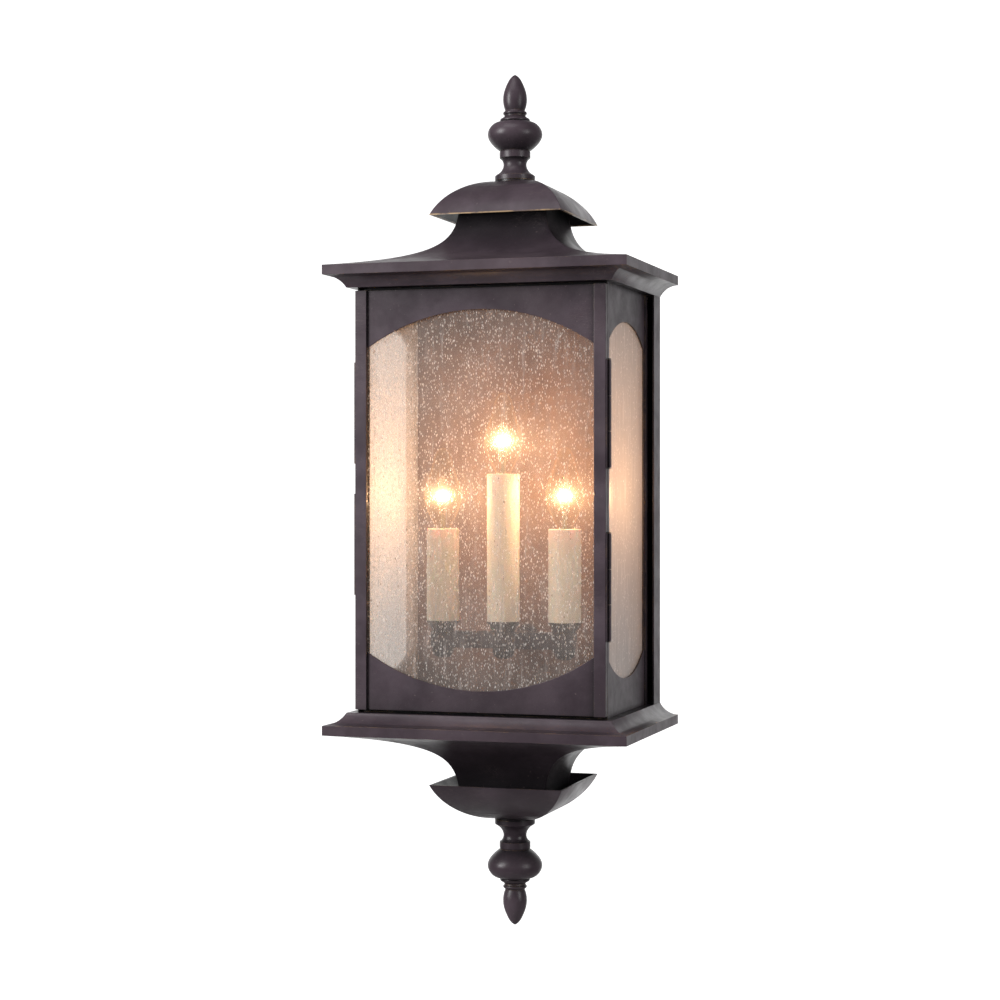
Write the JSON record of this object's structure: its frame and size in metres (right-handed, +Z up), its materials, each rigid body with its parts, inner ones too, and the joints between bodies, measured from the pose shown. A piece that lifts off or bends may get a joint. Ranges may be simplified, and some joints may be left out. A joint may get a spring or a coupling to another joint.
{
  "type": "outdoor wall lantern",
  "caption": "Tall rectangular wall lantern: flared roof and mirrored base with turned finials, arched seeded-glass windows, hinged glazed door, candle lamps on a bar.",
  "frame": {"origin": "on the wall plane, at the centre of the mounting strap, half way up the glazed cabin", "axes": "+X to the right as a person faces the lantern, +Y into the wall, +Z up"},
  "size_m": [0.24, 0.168, 0.677],
  "materials": {
    "bronze": "satin oil-rubbed bronze",
    "zinc_steel": "zinc plated",
    "hinge_pin": "bronzed steel",
    "green_screw": "green plated",
    "seeded_glass": "seeded, clear",
    "bulb_glass": "clear",
    "bulb_brass": "bright",
    "filament": "glowing tungsten",
    "candle_ivory": "matt ivory",
    "phenolic": "matt black",
    "foam": "closed-cell foam",
    "black_wire": "wire insulation",
    "white_wire": "wire insulation",
    "connector": "orange moulded"
  },
  "bodies": {
    "lantern": {"base": "bronze", "base_cove": "bronze", "bottom_finial": "bronze", "bottom_rod": "zinc_steel", "bowl": "bronze", "bowl_spacer": "bronze", "bulb_bases": "bulb_brass", "bulb_filaments": "filament", "bulb_glass_centre": "bulb_glass", "bulb_glass_left": "bulb_glass", "bulb_glass_right": "bulb_glass", "candle_cups": "bronze", "candle_sleeve_centre": "candle_ivory", "candle_sleeve_left": "candle_ivory", "candle_sleeve_right": "candle_ivory", "cap_nuts": "bronze", "cup_nuts": "bronze", "door_catches": "bronze", "door_stop_rails": "bronze", "frame_screws": "zinc_steel", "front_post_left": "bronze", "front_post_right": "bronze", "ground_screw": "green_screw", "hinge_leaves_cabin": "bronze", "hinge_pins": "hinge_pin", "hood": "bronze", "hood_spacer": "bronze", "lamp_arm": "bronze", "lamp_arm_nut": "zinc_steel", "lamp_bar": "bronze", "lamp_nipples": "zinc_steel", "lamp_sockets": "phenolic", "leads_black": "black_wire", "leads_white": "white_wire", "mounting_strap": "zinc_steel", "mounting_studs": "zinc_steel", "rear_panel": "bronze", "rear_post_left": "bronze", "rear_post_right": "bronze", "rod_nuts": "zinc_steel", "rod_washers": "zinc_steel", "roof": "bronze", "roof_cove": "bronze", "side_glass_clips": "zinc_steel", "side_glass_left": "seeded_glass", "side_glass_right": "seeded_glass", "side_panel_left": "bronze", "side_panel_right": "bronze", "stud_nuts": "zinc_steel", "top_finial": "bronze", "top_rod": "zinc_steel", "wall_gasket": "foam", "wall_pan": "bronze", "wire_connectors": "connector"},
    "door": {"door_frame": "bronze", "door_panel": "bronze", "front_glass": "seeded_glass", "door_glass_clips": "zinc_steel", "hinge_leaves_door": "bronze"}
  },
  "joints": [
    {"name": "door_hinge", "type": "hinge", "parent": "lantern", "child": "door", "pos_m": [0.101, -0.145, 0], "axis": [0, 0, 1], "range_deg": [0, 110]}
  ]
}
